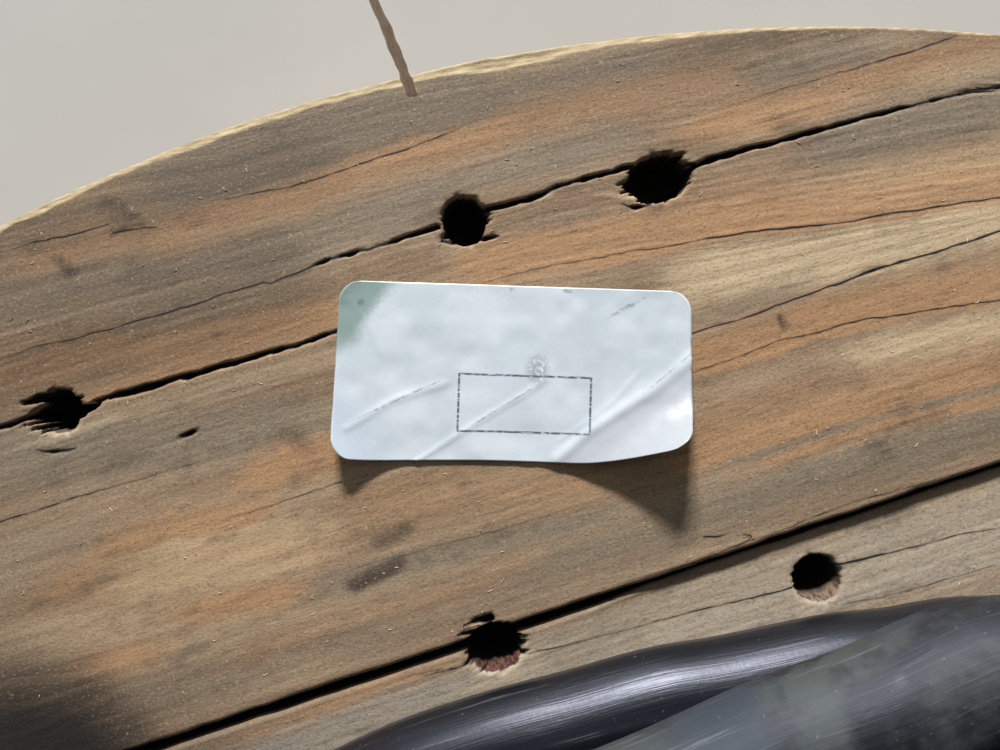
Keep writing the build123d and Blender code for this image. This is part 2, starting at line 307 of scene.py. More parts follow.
def crack_maps(px, py):
    """Cracks are valleys where they are wide enough. Gives their depth, the signed distance to the nearest crack and
    that crack's half width, in millimetres."""
    depth, side_map, width_map = 0.0, np.full(px.shape, 9.0), np.full(px.shape, -1.0)
    for i, crack in enumerate(cracks):
        wavy = py + 1.2 * noise(px / 37, i, 21 + i) + 0.7 * noise(px / 9, i, 41 + i)
        away, side, along = beside_line(px, wavy, [point[:2] for point in crack])
        width = np.interp(along, range(len(crack)), [point[2] for point in crack]) * 0.5
        width = width * (0.85 + 0.3 * noise(px / 9, i, 40))
        between_ends = (along > 0) & (along < len(crack) - 1)
        away_mm = away / pixels_a_mm
        near = (away_mm < np.abs(side_map)) & (away < 9) & between_ends
        side_map = np.where(near, side * away_mm, side_map)
        width_map = np.where(near, width, width_map)
        valley = 0.0045 * smooth(0.30, 0.80, width) * smooth(width + 0.10, width * 0.2, away_mm)
        depth = depth + np.where(between_ends, valley, 0)
    return depth, side_map, width_map


def band_maps(px, py):
    """How strongly each finish shows: a band fades along a bell across its line and towards its ends."""
    maps = {}
    listed = [(finish, *band) for finish, group in bands for band in group]
    for i, (finish, strength, above, below, *points) in enumerate(listed):
        points = drawn_out(points, 70 if above > 12 or finish != "stain_and_shade" else 1.8 * above)
        wavy = py + 3.0 * noise(px / 30, i, 60) + 1.6 * noise(px / 9, i, 61)
        away, side, along = beside_line(px, wavy, points)
        taper = smooth(0, 1.3, along) * smooth(len(points) - 1, len(points) - 2.3, along)
        reach = np.where(side > 0, above, below) * (0.85 + 0.3 * taper)
        maps[finish] = np.maximum(maps.get(finish, 0.0), strength * taper * bell(away, 0, reach))
    return maps


def board_relief(x, y):
    """Works out the rim boards' face. Recesses go down steeply and more gently on their lower side, cracks are narrow
    valleys, and the grain is a fine ribbing. Gives the depth below the face in metres and the finish maps."""
    px, py = on_photo(x, y)
    across = grain_height(px, py)
    x_mm = x * 1000
    across = across + 0.9 * noise(x_mm / 60, across / 14, 3) + 0.25 * noise(x_mm / 22, across / 6, 4)
    gap, lower = recess_gap(px, py)
    depth = recess_depth * smooth(0.1, -1.2 - 4.5 * lower, gap - 0.5 * lower * noise(px / 3, py / 7, 14))
    depth = depth + 0.0006 * smooth(1.5, 0, gap)
    crack_depth, crack_side, crack_width = crack_maps(px, py)
    rusty_x, rusty_y = recesses[4][:2]
    maps = band_maps(px, py) | {
        "figure": across / 1000, "gap": gap, "lower_wall": lower,
        "rusty_wall": smooth(60, 20, np.hypot(px - rusty_x, py - rusty_y)),
        "crack_side": crack_side, "crack_width": crack_width,
    }
    ribs = 0.00006 * noise(x_mm / 40, across / 0.9, 5) + 0.00006 * noise(x_mm / 9, across / 0.45, 6)
    swell = 0.0002 * noise(x_mm / 60, across / 18, 7)
    bottom = recess_depth + 0.0004 * noise(x_mm, across, 8)
    return np.clip(depth + crack_depth, 0, bottom) + ribs + swell, maps


def spaced(low, high, step, dense, dense_step):
    """Values from low to high, a step apart, and closer within the dense stretches."""
    edges, steps = [low], []
    for a, b in sorted(dense):
        a, b = max(a, low), min(b, high)
        if b > a:
            steps += [step, dense_step]
            edges += [a, b]
    values = []
    for a, b, s in zip(edges, edges[1:] + [high], steps + [step]):
        if b - a > 1e-9:
            values.append(np.linspace(a, b, max(2, int(round((b - a) / s)) + 1))[:-1])
    return np.append(np.concatenate(values), high)


def add_object(name, data):
    """Puts an object with its data into the scene."""
    thing = bpy.data.objects.new(name, data)
    bpy.context.scene.collection.objects.link(thing)
    return thing


def add_mesh(name, points, faces, maps, nodes, material):
    """Puts points and faces into a mesh, with a value a point for each map, and has it ride and stand for its nodes."""
    mesh = bpy.data.meshes.new(name)
    mesh.from_pydata(points.tolist(), [], faces)
    for key, values in maps.items():
        layer = mesh.attributes.new(key, "FLOAT", "POINT")
        layer.data.foreach_set("value", np.ascontiguousarray(values, dtype=np.float32).ravel())
    mesh.polygons.foreach_set("use_smooth", np.full(len(mesh.polygons), True))
    mesh.update()
    mesh.materials.append(material)
    piece = add_object(name, mesh)
    if nodes:
        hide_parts(*nodes)
    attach(piece, "root")
    return piece


def grid_quads(rows, columns):
    """Quads of a grid whose points are listed row by row, turned towards +Z where rows go along +Y."""
    first = (np.arange(rows - 1)[:, None] * columns + np.arange(columns - 1)).ravel()
    return np.stack([first, first + 1, first + columns + 1, first + columns], -1)


def circle(around):
    """Angles once round, evenly."""
    return np.linspace(0, 2 * np.pi, around, endpoint=False)


def ring_faces(rings, around):
    """Quads between rings of points, and the first and last ring as one face each."""
    here = np.arange(around)
    row = np.arange(rings - 1)[:, None] * around
    a, b = (row + here).ravel(), (row + (here + 1) % around).ravel()
    faces = np.stack([a, b, b + around, a + around], -1).tolist()
    return faces + [list(range(around - 1, -1, -1)), list(range((rings - 1) * around, rings * around))]


def add_board(name, x, y, depth, maps, node, material):
    """Closes a board's face into a slab and adds it. The back has a point under every sixth row and column of the
    face, and the walls between are faces of many corners."""
    front = np.stack([x, y, face_height - depth], -1)
    rows, columns = x.shape
    row_picks, column_picks = (np.unique(np.append(np.arange(0, n, 6), n - 1)) for n in (rows, columns))
    picks = np.ix_(row_picks, column_picks)
    back = front[picks]
    back[..., 2] = layer_height
    offset, wide = rows * columns, len(column_picks)
    last, top = offset + (len(row_picks) - 1) * wide, (rows - 1) * columns
    faces = grid_quads(rows, columns).tolist()
    faces += (grid_quads(len(row_picks), wide)[:, ::-1] + offset).tolist()
    for j, (a, b) in enumerate(zip(column_picks, column_picks[1:])):
        faces.append([offset + j, offset + j + 1] + list(range(b, a - 1, -1)))
        faces.append([last + j + 1, last + j] + list(range(top + a, top + b + 1)))
    for j, (a, b) in enumerate(zip(row_picks, row_picks[1:])):
        left = [r * columns for r in range(a, b + 1)]
        right = [r * columns + columns - 1 for r in range(b, a - 1, -1)]
        here = offset + j * wide
        faces.append([here + wide, here] + left)
        faces.append([here + wide - 1, here + wide + wide - 1] + right)
    points = np.concatenate([front.reshape(-1, 3), back.reshape(-1, 3)])
    maps = {key: np.concatenate([value.ravel(), value[picks].ravel()]) for key, value in maps.items()}
    add_mesh(name, points, faces, maps, [node], material)


def about_recesses(*reaches):
    """Stretches of x about recesses: each recess's number, and how far before and after its middle."""
    middles = [(on_face(*recesses[number][:2])[0], before, after) for number, before, after in reaches]
    return [(x - before, x + after) for x, before, after in middles]


def rim_board(material):
    """The outermost board that the photograph shows. Rows go from the joint to the round rim in even shares, so the
    rim is y = the root of radius squared less x squared, less small chips, and its arris is worn off."""
    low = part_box("lower_inner_board_7")[0].y
    end = math.sqrt(flange_radius ** 2 - low ** 2) - 0.0006
    dense = about_recesses((2, 0.012, 0.012), (4, 0.010, 0.010), (1, 0.009, 0.009), (0, 0.014, 0.012))
    columns = spaced(-0.150, 0.200, 0.0017, dense, 0.00055)
    columns = np.concatenate([np.linspace(-end, -0.152, 34), columns, np.linspace(0.202, end, 28)])
    shares = spaced(0, 1, 0.0060, [(0.0, 0.02), (0.50, 0.83), (0.95, 1.0)], 0.0033)
    x = np.broadcast_to(columns, (len(shares), len(columns))).copy()
    rim = np.sqrt(flange_radius ** 2 - columns ** 2) - 0.0002
    round_mm = np.arctan2(rim, columns) * flange_radius * 1000
    rim = rim - 0.0006 * np.abs(noise(round_mm / 9, 0, 70)) - 0.0003 * np.abs(noise(round_mm / 2.5, 0, 71))
    x_mm = columns * 1000
    joint = low - joint_shift + 0.0002 + 0.0002 * noise(x_mm / 19, 0, 72) + 0.0002 * noise(x_mm / 5, 0, 73)
    joint = np.minimum(joint, rim - 0.0003)
    y = joint + shares[:, None] * (rim - joint)
    depth, maps = board_relief(x, y)
    from_rim = (np.hypot(x, y) - flange_radius) * -1000
    from_joint = (y - joint) * 1000
    px = on_photo(x, y)[0]
    strip = 2.4 + 0.5 * smooth(450, 380, px) + 0.5 * noise(px / 60, 0, 74) + 0.35 * noise(px / 14, 0, 75)
    strip = strip + 3.0 * bell(px, 510, 85) - 1.0 * smooth(700, 1000, px)
    fresh = strip - from_rim
    depth = depth + smooth(0, 1.8, fresh) * (0.0008 + 0.0003 * noise(px / 60, from_rim / 0.7, 76))
    depth = depth + 0.0012 * smooth(1.2, 0.0, from_rim) + 0.0007 * smooth(1.0, 0.0, from_joint) ** 2
    maps |= {"fresh": fresh, "worn": 2.0 - from_joint}
    add_board("rim_board", x, y, depth, maps, "lower_inner_board_7", material)


def second_board(material):
    """The next board inwards. A point's x is its column's share of a straight width in the middle, and of the round
    rim's half width at the ends. A ring groove takes the staves, and it has two recesses of the inner nail ring."""
    low, high = (corner.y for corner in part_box("lower_inner_board_6"))
    high -= joint_shift
    straight = 0.45
    middle = spaced(-0.10, 0.21, 0.0018, about_recesses((3, 0.011, 0.011), (4, 0.011, 0.011)), 0.0006) / straight
    shares = np.concatenate([np.linspace(-1, -0.104 / straight, 60), middle, np.linspace(0.214 / straight, 1, 46)])
    rows = spaced(low, high, 0.0030, [(0.276, 0.283), (0.335, high)], 0.0006)
    half = np.sqrt(flange_radius ** 2 - rows ** 2) - 0.0003
    blend = smooth(0.55, 1.0, np.abs(shares))
    x = (1 - blend) * straight * shares + blend * half[:, None] * shares
    y = np.broadcast_to(rows[:, None], x.shape).copy()
    narrowing = joint_narrowing * smooth(560, 700, on_photo(x, y)[0])
    edge = 0.0002 * noise(x * 1000 / 21, 0, 82) + 0.0002 * noise(x * 1000 / 6, 0, 83) - 0.0002 + narrowing
    y = y + edge * smooth(high - 0.012, high, y)
    depth, maps = board_relief(x, y)
    px = on_photo(x, y)[0]
    radius = np.hypot(x, y)
    inner, outer = groove_radii
    groove = smooth(outer + 0.0003, outer - 0.0003, radius) * smooth(inner - 0.0003, inner + 0.0003, radius)
    from_joint = (rows[-1] + joint_narrowing * smooth(560, 700, px) - y) * 1000
    lower_at_right = lowering_at_right * smooth(560, 690, px) * smooth(30.0, 0.0, from_joint)
    depth = depth + groove_depth * groove + 0.0007 * smooth(1.0, 0.0, from_joint) ** 2 + lower_at_right
    maps |= {"fresh": np.full(x.shape, -9.0), "worn": 2.2 - from_joint}
    add_board("second_board", x, y, depth, maps, "lower_inner_board_6", material)


def splinter(material):
    """A sliver torn up from the rim: a flat blade along a bent line that stands over the edge and ends ragged. The
    photograph has no shadow of it on the board, so it casts none."""
    foot = on_face(411, 93)
    rows, around = 40, 8
    t = np.linspace(0, 1, rows)[:, None]
    turn = circle(around)
    centre_x = foot[0] - 0.0020 * t ** 1.4 + 0.0003 * noise(t * 9, 0, 91)
    centre_y = foot[1] - 0.0012 + 0.0066 * t + 0.0003 * noise(t * 7, 0, 92)
    half_wide = 0.0016 * (1 - 0.35 * t) * smooth(1.0, 0.9, t) * (1 + 0.2 * noise(t * 14, 0, 93)) + 0.0001
    wide = np.cos(turn) * half_wide
    thick = np.sin(turn) * 0.0005 * (1 - 0.6 * t)
    x = centre_x + photo_right[0] * wide + photo_up[0] * thick
    y = centre_y + photo_right[1] * wide + photo_up[1] * thick
    z = 0.046 + 0.060 * t + 0 * turn
    points = np.stack([x, y, z], -1).reshape(-1, 3)
    maps = {"tip": np.broadcast_to(t, x.shape)}
    piece = add_mesh("splinter", points, ring_faces(rows, around), maps, [], material)
    piece.visible_shadow = False


def tube(points, radius, around):
    """Carries a circle along a path of points: at each point it lies across the path, turned towards the drum's axis.
    The two ends are domed shut. Gives points, faces and the angle round the circle."""
    ahead = np.gradient(points, axis=0)
    ahead /= np.linalg.norm(ahead, axis=1)[:, None]
    out = points * np.array([1.0, 1.0, 0.0])
    out /= np.linalg.norm(out, axis=1)[:, None]
    out -= ahead * np.sum(out * ahead, 1)[:, None]
    out /= np.linalg.norm(out, axis=1)[:, None]
    up = np.cross(ahead, out)
    turn = circle(around)
    dome, shrink = radius * np.array([[0.16], [0.12], [0.05]]), radius * np.array([0.55, 0.85, 0.97])
    rings = np.concatenate([points[0] - ahead[0] * dome, points, points[-1] + ahead[-1] * dome[::-1]])
    size = np.concatenate([shrink, np.full(len(points), radius), shrink[::-1]])
    out, up = (np.pad(way, ((3, 3), (0, 0)), "edge")[:, None, :] for way in (out, up))
    skin = rings[:, None, :] + size[:, None, None] * (np.cos(turn)[:, None] * out + np.sin(turn)[:, None] * up)
    return skin, ring_faces(len(rings), around), turn


def winding(material):
    """The cable, one path of 45 turns. In each layer the height goes up by one diameter a turn, over a short stretch on
    the side away from the photograph, and at a layer's end the path steps out to the next. In the outer layer the
    three turns next to the lower flange are slack: they bulge out or lie in along smooth steps and bells."""
    samples, samples_in_view, turns_before_view, turns = 110, 400, 41, 45
    t = np.append(np.arange(0, turns_before_view * samples) / samples,
                  np.arange(turns_before_view * samples_in_view, turns * samples_in_view) / samples_in_view)
    layer = np.minimum(t // turns_in_layer, 2).astype(int)
    in_layer = t - layer * turns_in_layer
    whole = np.floor(in_layer)
    step = smooth(0.86, 1.0, in_layer - whole)
    last = whole >= turns_in_layer - 1
    count = whole + np.where(last, 0, step)
    height = np.where(layer != 1, turns_in_layer - 1 - count, count)
    radii = np.array(cable_layers + (cable_layers[-1],))
    radius = radii[layer] + np.where(last & (layer < 2), step, 0) * (radii[layer + 1] - radii[layer])
    angle = math.radians(start_angle) - 2 * np.pi * t
    z = face_height + cable_radius + 0.0002 + 2 * cable_radius * height
    number = np.round(height)
    outer = np.where(layer == 2, 1.0, 0.0)
    first, second, third = (outer * (number == n) for n in range(3))
    seen = np.degrees(np.mod(angle, 2 * np.pi))
    before_start = seen < start_angle
    bulge = np.where(before_start, smooth(86.5, 70.5, seen), smooth(262, 330, seen))
    radius = radius + 0.0250 * third * bulge + outer * (0.0006 * noise(angle * 2.2, number, 101) - 0.0008)
    radius = radius - second * 0.0125 * smooth(64, 82, seen) * smooth(140, 105, seen)
    held = smooth(150, 115, seen)
    lowest = -0.0004 - 0.0025 * smooth(79, 85, seen) * held - 0.0010 * smooth(91.5, 96, seen) * held
    lowest = lowest + 0.0120 * smooth(79, 64, seen) * smooth(20, 50, seen) - 0.0015 * bell(seen, 69.5, 2)
    nearest = 0.0022 * bell(seen, 85, 4) - 0.0017 * bell(seen, 75.5, 2.2)
    nearest = nearest + 0.0022 * smooth(75, 71.5, seen) * smooth(50, 62, seen)
    radius = radius + first * lowest + third * nearest
    z = z + 0.004 * third * smooth(130, 84, seen) * before_start
    path = np.stack([radius * np.cos(angle), radius * np.sin(angle), z], -1)
    skin, faces, turn = tube(path, cable_radius - 0.0001, 14)
    run = np.cumsum(np.append(0, np.linalg.norm(np.diff(path, axis=0), axis=1)))
    dust = 0.35 + 0.25 * noise(t * 3, 0, 103) + 0.55 * third - 0.45 * outer * (number < 2) * smooth(200, 140, seen)
    maps = {"run": np.pad(run, 3)[:, None], "round_x": np.cos(turn), "round_y": np.sin(turn),
            "dust": np.pad(dust, 3, constant_values=0.3)[:, None]}
    maps = {key: np.broadcast_to(value, skin.shape[:2]) for key, value in maps.items()}
    add_mesh("wound_cable", skin.reshape(-1, 3), faces, maps, ["cable_winding"], material)


# The label's curls: direction in degrees, where the curl begins in metres from the middle, and its radius
label_curls = ((-52, 0.0240, 0.0245), (-140, 0.0380, 0.0225), (152, 0.0500, 0.030))

# The label's creases: height in metres, reach in pixels, and points in the photograph
label_creases = (
    (0.00024, 3.0, [(347, 426), (392, 400), (447, 383)]),
    (0.00020, 2.6, [(415, 460), (450, 439), (528, 392), (545, 380)]),
    (0.00050, 6.0, [(557, 459), (589, 432), (648, 395), (694, 357)]),
    (0.00012, 2.5, [(560, 440), (610, 405), (640, 372)]),
    (0.00010, 3.0, [(350, 300), (372, 330), (380, 352)]),
)


def label(material):
    """The label: a rectangle with round corners, whose corners curl up as parts of cylinders, and whose creases are
    low ridges. Its two lower corners are drawn out or in a little. A second sheet just below closes it."""
    centre = on_face(513, 373.5)
    turn = math.radians(-20.2)
    half_long, half_high, corner, thickness = 0.0517, 0.0255, 0.0062, 0.00018
    rows, s = np.linspace(-1, 1, 71), np.linspace(-1, 1, 141)
    v = half_high * (0.55 * rows + 0.45 * np.sin(rows * np.pi / 2))
    into = np.clip(np.abs(v) - (half_high - corner), 0, corner)
    half = half_long - corner + np.sqrt(corner ** 2 - into ** 2 + 1e-12)
    u = half[:, None] * s * (1 - 0.012 * rows)[:, None]
    v = np.broadcast_to(v[:, None], u.shape).copy()
    u = u + 0.00006 * noise(v * 700, 0, 110) * (np.abs(s) > 0.98)
    low_edge = smooth(0.0, -0.025, v)
    sheet_u, sheet_v = u, v - 0.0012 * smooth(0.0, -0.05, u) * low_edge + 0.0026 * smooth(0.018, 0.050, u) * low_edge
    rise = 0.0
    for direction, begin, bend in label_curls:
        cx, cy = math.cos(math.radians(direction)), math.sin(math.radians(direction))
        beyond = np.clip(u * cx + v * cy - begin, 0, None)
        pull = bend * np.sin(beyond / bend) - beyond
        sheet_u, sheet_v = sheet_u + cx * pull, sheet_v + cy * pull
        rise = rise + bend * (1 - np.cos(beyond / bend))

    def turned(a, b):
        return centre[0] + a * math.cos(turn) - b * math.sin(turn), centre[1] + a * math.sin(turn) + b * math.cos(turn)

    ridge = 0.0
    for height, reach, line in label_creases:
        ridge = ridge + height * bell(beside_line(*on_photo(*turned(u, v)), line)[0], 0, reach)
    lift = 0.0004 + 0.00025 * noise(u * 60, v * 60, 111) + 0.00010 * noise(u * 220, v * 220, 112)
    top = face_height + 0.00035 + np.clip(lift, 0.0001, None) + rise + ridge
    x, y = turned(sheet_u, sheet_v)
    rows_n, columns_n = u.shape
    count = rows_n * columns_n
    quads = grid_quads(rows_n, columns_n)
    faces = quads.tolist() + (quads[:, ::-1] + count).tolist()
    edge = list(range(columns_n)) + [r * columns_n + columns_n - 1 for r in range(1, rows_n)]
    edge += list(range(count - 2, count - columns_n - 1, -1)) + [r * columns_n for r in range(rows_n - 2, 0, -1)]
    faces += [[b, a, a + count, b + count] for a, b in zip(edge, edge[1:] + edge[:1])]
    maps = {"label_u": np.tile(u.ravel(), 2), "label_v": np.tile(v.ravel(), 2), "backing": np.repeat([0.0, 1.0], count)}
    points = np.concatenate([np.stack([x, y, z], -1).reshape(-1, 3) for z in (top, top - thickness)])
    add_mesh("paper_label", points, faces, maps, ["label"], material)


def dust_fibres(material):
    """Short pale fibres that lie about on the two boards in view: each is a bent strip of three quads, 0.5 to 1.8 mm
    long and 0.2 mm wide, at a random place and turn, and it lies a little above the face."""
    rng = np.random.default_rng(5)
    count = 260
    px, py = rng.uniform(-30, 1030, count), rng.uniform(40, 700, count)
    x, y = on_face(px, py)
    radius, joint = np.hypot(x, y), 2.5 * board_pitch - joint_shift
    off_rim_and_cable = (radius < 0.527) & (radius > 0.370)
    under_label = (px > 320) & (px < 700) & (py > 270) & (py < 470)
    clear = off_rim_and_cable & (recess_gap(px, py)[0] > 2.0) & (np.abs(y - joint) > 0.004) & ~under_label
    x, y = x[clear], y[clear]
    count = len(x)
    length = rng.uniform(0.0005, 0.0018, count)
    turn = rng.normal(0.3, 0.9, count)
    bend = rng.normal(0.0, 0.9, count)
    steps = np.linspace(-0.5, 0.5, 4)
    lean = turn[:, None] + bend[:, None] * steps
    along_x = np.cos(lean) * steps * length[:, None]
    along_y = np.sin(lean) * steps * length[:, None]
    half = 0.00009 * (1 - 1.2 * np.abs(steps)) + 0 * lean
    face = (face_height - board_relief(x, y)[0])[:, None]
    points = []
    for way, lift in ((-1, 0.0), (1, 0.0), (0, 0.00014)):
        z = face + lift + 0.00004 + 0 * lean
        points.append(np.stack([x[:, None] + along_x - way * half * np.sin(lean),
                                y[:, None] + along_y + way * half * np.cos(lean), z], -1))
    grid = np.stack(points, 2).reshape(-1, 3)
    starts = range(0, count * 12, 12)
    first = (np.array(starts)[:, None] + np.array([0, 3, 6])).ravel()
    faces = [np.stack([first + a, first + b, first + 3 + b, first + 3 + a], -1) for a, b in ((0, 1), (1, 2), (2, 0))]
    faces = np.concatenate(faces).tolist()
    faces += [[f, f + 2, f + 1] for f in starts] + [[f + 9, f + 10, f + 11] for f in starts]
    add_mesh("dust_fibres", grid, faces, {"tip": np.ones(len(grid))}, [], material)


def nail_heads(material, places):
    """Domed heads at the bottoms of the recesses: a profile of four rings turned about each nail's place."""
    radii = np.array([0.0044, 0.0044, 0.0036, 0.0018])
    heights = np.array([-0.0020, 0.0006, 0.0012, 0.0015])
    around = 12
    turn = circle(around)
    points, faces = [], []
    for x, y, z, way in places:
        base = len(points) * len(radii) * around
        ring_x = x + radii[:, None] * np.cos(turn)
        ring_y = y + radii[:, None] * np.sin(turn * way)
        ring_z = z + way * heights[:, None] + 0 * ring_x
        points.append(np.stack([ring_x, ring_y, ring_z], -1).reshape(-1, 3))
        faces += [[base + corner for corner in face] for face in ring_faces(len(radii), around)]
    add_mesh("nail_heads", np.concatenate(points), faces, {}, [], material)


def operator(operation, swapped=False):
    """A method of Wire for one operation of the Math node, with its two operands swapped or not."""
    return lambda wire, other=0.0: wire.maths(operation, *((other, wire) if swapped else (wire, other)))


def linear(tone):
    """A colour from 0 to 255 as screens have it, made linear."""
    shares = [value / 255 for value in tone]
    return (*(s / 12.92 if s <= 0.04045 else ((s + 0.055) / 1.055) ** 2.4 for s in shares), 1.0)


class Wire:
    """A socket of a material, so that shader maths reads as Python: an expression on wires adds its nodes."""

    def __init__(self, material, socket=None):
        self.material, self.tree, self.socket = material, material.node_tree, socket

    def give(self, node, inputs):
        """Sets a node's inputs to values, or links wires to them."""
        for key, value in inputs.items():
            if isinstance(value, Wire):
                self.tree.links.new(value.socket, node.inputs[key])
            else:
                node.inputs[key].default_value = value

    def add(self, kind, settings=None, inputs=None, out=0):
        """Adds a node, gives it its settings first and then its inputs, and returns one of its outputs."""
        node = self.tree.nodes.new(kind)
        for key, value in (settings or {}).items():
            setattr(node, key, value)
        self.give(node, inputs or {})
        return Wire(self.material, node.outputs[out])

    def shade(self, **inputs):
        """Gives values or wires to the Principled shader, and returns the material."""
        self.give(self.tree.nodes["Principled BSDF"], {key.replace("_", " "): value for key, value in inputs.items()})
        return self.material

    def maths(self, operation, a, b=0.0):
        return self.add("ShaderNodeMath", {"operation": operation}, {0: a, 1: b})

    __add__, __radd__ = operator("ADD"), operator("ADD", True)
    __sub__, __rsub__ = operator("SUBTRACT"), operator("SUBTRACT", True)
    __mul__, __rmul__ = operator("MULTIPLY"), operator("MULTIPLY", True)
    __truediv__ = operator("DIVIDE")
    __abs__, larger = operator("ABSOLUTE"), operator("MAXIMUM")
    wrapped, whole, root = operator("FRACT"), operator("FLOOR"), operator("SQRT")

    def rise(self, low, high):
        """0 below low and 1 above high, smoothly between. With low above high it falls."""
        return self.add("ShaderNodeMapRange", {"interpolation_type": "SMOOTHSTEP", "clamp": True},
                        {0: self, 1: low, 2: high, 3: 0.0, 4: 1.0})

    def cloud(self, x, y, z, detail, roughness=0.5):
        """Noise from 0 to 1 at a place of wires."""
        vector = self.add("ShaderNodeCombineXYZ", None, {0: x, 1: y, 2: z})
        return self.add("ShaderNodeTexNoise", {"noise_dimensions": "3D"},
                        {"Vector": vector, "Scale": 1.0, "Detail": detail, "Roughness": roughness})

    def grit(self, spot, scale, detail, roughness=0.5, shift=0.0):
        """Noise that is as fine one way as another, at a spot of three wires."""
        x, y, z = spot
        return self.cloud(x * scale, y * scale, z * scale + shift, detail, roughness)

    def mix(self, factor, a, b):
        """A colour between a and b: wires, or red, green and blue from 0 to 255 as screens have them."""
        a, b = (tone if isinstance(tone, Wire) else linear(tone) for tone in (a, b))
        return self.add("ShaderNodeMix", {"data_type": "RGBA"}, {0: factor, 6: a, 7: b}, 2)

    def layered(self, tone, *layers):
        """Puts colours over a tone one after another: where its wire rises from low to high, and how strongly."""
        for wire, low, high, strength, target in layers:
            tone = self.mix(wire.rise(low, high) * strength, tone, target)
        return tone

    def map(self, name):
        """A value that the mesh carries at its points."""
        return self.add("ShaderNodeAttribute", {"attribute_name": name}, None, 2)

    def bump(self, height, strength, distance):
        return self.add("ShaderNodeBump", None, {"Height": height, "Strength": strength, "Distance": distance})


tan_wood = (158, 135, 109)
brown_wood = (131, 107, 83)
orange_wood = (173, 132, 93)
pale_wood = (200, 178, 144)
grey_wood = (124, 113, 98)
ash_wood = (150, 143, 132)
# Dark brown of real stains, worn edges and fibre hollows, and of the painted shade in the stain bands
stain_and_shade_brown = (45, 36, 28)
fresh_wood = (198, 180, 142)
deep_black = (12, 9, 7)


def new_material(name):
    """A wire for the tree of a new material, and the three Object coordinates as wires."""
    material = bpy.data.materials.new(name)
    material.use_nodes = True
    w = Wire(material)
    coordinates = w.add("ShaderNodeTexCoord", None, None, 3)
    return w, tuple(w.add("ShaderNodeSeparateXYZ", None, {0: coordinates}, i) for i in range(3))


def wood_tone(w, along, figure, seed):
    """Weathered pine without its maps: brown to tan in broad bands along the grain, darker latewood lines about 7 mm
    apart that end sharply on one side, and fine fibres. Gives the colour, and the fibre, line and streak values."""
    broad = w.cloud(along * 5.0, figure * 70.0, seed, 3.0, 0.55)
    drift = w.cloud(along * 9.0, figure * 40.0, seed + 3.0, 2.0)
    rings = (figure * 150.0 + drift * 4.0).wrapped()
    line = rings.rise(0.45, 0.95) * rings.rise(1.0, 0.97)
    fibre = w.cloud(along * 170.0, figure * 950.0, seed, 4.0, 0.7)
    streak = w.cloud(along * 11.0, figure * 230.0, seed + 9.0, 4.0, 0.62)
    tone = w.mix(broad.rise(0.38, 0.62), brown_wood, tan_wood)
    return w.layered(tone, (streak, 0.40, 0.75, 0.15, pale_wood)), fibre, line, streak


def finish_wood(w, spot, tone, fibre, line, streak, seed):
    """Darkens latewood lines and fibre hollows, and adds mould and pale dust specks. Gives the colour and the fuzz."""
    x, y, z = spot
    fuzz = w.cloud(x * 1000.0, y * 1300.0, z * 1000.0 + seed, 3.0, 0.7)
    specks = w.grit(spot, 420.0, 1.0, shift=seed)
    blotch = w.grit(spot, 48.0, 4.0, 0.7, seed)
    tone = w.layered(
        w.mix(line * 0.22, tone, brown_wood),
        (fibre, 0.50, 0.28, 0.34, stain_and_shade_brown),
        (fibre, 0.55, 0.75, 0.22, pale_wood),
        (fuzz, 0.50, 0.28, 0.44, stain_and_shade_brown),
        (fuzz, 0.54, 0.74, 0.40, pale_wood),
        (blotch * 0.6 + streak * 0.4, 0.52, 0.70, 0.55, stain_and_shade_brown),
        (specks, 0.73, 0.80, 0.36, fresh_wood),
    )
    return tone, fuzz


